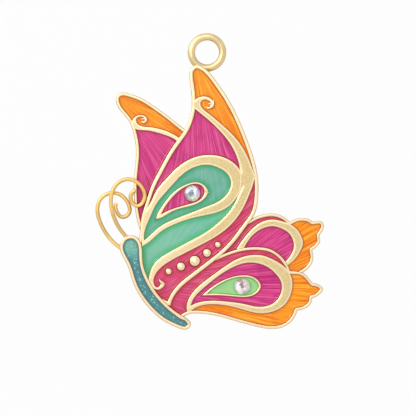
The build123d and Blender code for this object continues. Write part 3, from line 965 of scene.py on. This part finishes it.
class ORNAMENT_OT_enamels(bpy.types.Operator):
    """Fills every bed with enamel that climbs a little up its walls"""

    bl_idname = "ornament.enamels"
    bl_label = "Enamels"

    def execute(self, context):
        settings = context.scene.ornament_enamel
        for node, (colour, fan, lines) in BEDS.items():
            slot, *widths, streaks = FINISHES[colour]
            tones = [getattr(settings, colour + tone) for tone in ("", "_deep", "_pale", "_edge")]
            material = enamel(node.replace("enamel", colour), tones, widths, fan, lines, streaks)
            self.fill(settings, node, slot, material)
        self.fill(settings, "body_enamel", "body_enamel", glitter_enamel(settings))
        return {"FINISHED"}

    def fill(self, settings, node, slot, material):
        """Makes one bed's enamel, level but for its climb beside the walls."""
        shape = merged(node)
        join_flats(shape)
        top = min(vert.co.y for vert in shape.verts)
        faces = [face for face in shape.faces if face.calc_center_median().y < top + LEVEL_MARGIN]
        faces = cut_in_squares(shape, faces, ENAMEL_SQUARE)
        layer = mark_edge_distance(shape, faces)
        for vert in {vert for face in faces for vert in face.verts}:
            share = min(max(vert[layer], 0) * MM / settings.climb_width, 1)
            vert.co.y -= settings.climb * (1 - share) ** 2
        smooth(shape)
        place(shape, node.replace("enamel", "glaze"), material, node)


class ORNAMENT_OT_stones(bpy.types.Operator):
    """Cuts the two crystals"""

    bl_idname = "ornament.stones"
    bl_label = "Cut stones"

    def execute(self, context):
        settings = context.scene.ornament_stone
        material = cut_crystal()
        for node in CRYSTAL_REFLECTIONS:
            place(self.cut(node, settings), node.replace("stone", "crystal"), material, node)
        return {"FINISHED"}

    def cut(self, node, settings):
        """A flat-backed crown: table, star facets, main facets and girdle."""
        low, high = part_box(node)
        radius = (high.x - low.x) / 2
        middle = (low + high) / 2
        depth = high.y - low.y
        rows = (
            (low.y, radius * settings.table_share, STONE_SIDES, 0.5),
            (low.y + depth * STAR_DEPTH, radius * settings.mid_share, STONE_SIDES, 0.0),
            (low.y + depth * GIRDLE_DEPTH, radius, 2 * STONE_SIDES, 0.0),
            (high.y, radius, 2 * STONE_SIDES, 0.0),
        )
        shape = bmesh.new()
        reflection_layer = shape.faces.layers.float_color.new("facet_tint")
        for level, width, count, turn in rows:
            for number in range(count):
                angle = math.tau * (number + turn) / count
                across = middle.x + width * math.cos(angle)
                shape.verts.new((across, level, middle.z + width * math.sin(angle)))
        bmesh.ops.convex_hull(shape, input=shape.verts)
        join_flats(shape)
        table = [face for face in shape.faces if face.normal.y < FACING_FRONT]
        width = radius * TABLE_RING
        inset = bmesh.ops.inset_region(shape, faces=table, thickness=width, use_even_offset=True)
        tones = CRYSTAL_REFLECTIONS[node]
        # Each facet's colour is a painted reflection, and every third facet is darkened as painted shade
        for face in shape.faces:
            place_at = face.calc_center_median() - middle
            turn = math.atan2(place_at.z, place_at.x) / math.tau % 1
            row = tones["ring"] if face in inset["faces"] else tones["crown"]
            reflection = shade(*row[int(turn * len(row)) % len(row)])
            face[reflection_layer] = linear(darker(reflection, 1.0 if face.index % 3 else SHADED_FACET))
        # The table's heart is painted dark, as the reflection it shows
        for face in table:
            face[reflection_layer] = linear(shade(*tones["heart"]))
        return shape


STEPS = (
    ORNAMENT_OT_stage,
    ORNAMENT_OT_casting,
    ORNAMENT_OT_wires,
    ORNAMENT_OT_enamels,
    ORNAMENT_OT_stones,
)
SETTINGS = {
    "ornament_gilt": GiltSettings,
    "ornament_enamel": EnamelSettings,
    "ornament_stone": StoneSettings,
    "ornament_stage": StageSettings,
}


class ORNAMENT_PT_panel(bpy.types.Panel):
    """Lists the ornament's pieces with their sizes and colours"""

    bl_label = "Butterfly ornament"
    bl_idname = "ORNAMENT_PT_panel"
    bl_space_type = "VIEW_3D"
    bl_region_type = "UI"
    bl_category = "Ornament"

    def draw(self, context):
        for step in STEPS:
            self.layout.operator(step.bl_idname)
        for name in SETTINGS:
            box = self.layout.box()
            settings = getattr(context.scene, name)
            for prop in settings.bl_rna.properties:
                if not prop.is_readonly and prop.identifier != "name":
                    box.prop(settings, prop.identifier)


CLASSES = (*SETTINGS.values(), *STEPS, ORNAMENT_PT_panel)


def register():
    for item in CLASSES:
        bpy.utils.register_class(item)
    for name, settings in SETTINGS.items():
        setattr(bpy.types.Scene, name, bpy.props.PointerProperty(type=settings))


def unregister():
    for name in SETTINGS:
        delattr(bpy.types.Scene, name)
    for item in reversed(CLASSES):
        bpy.utils.unregister_class(item)


def main():
    register()
    bpy.ops.ornament.stage()
    bpy.ops.ornament.casting()
    bpy.ops.ornament.wires()
    bpy.ops.ornament.enamels()
    bpy.ops.ornament.stones()


if __name__ == "__main__":
    main()
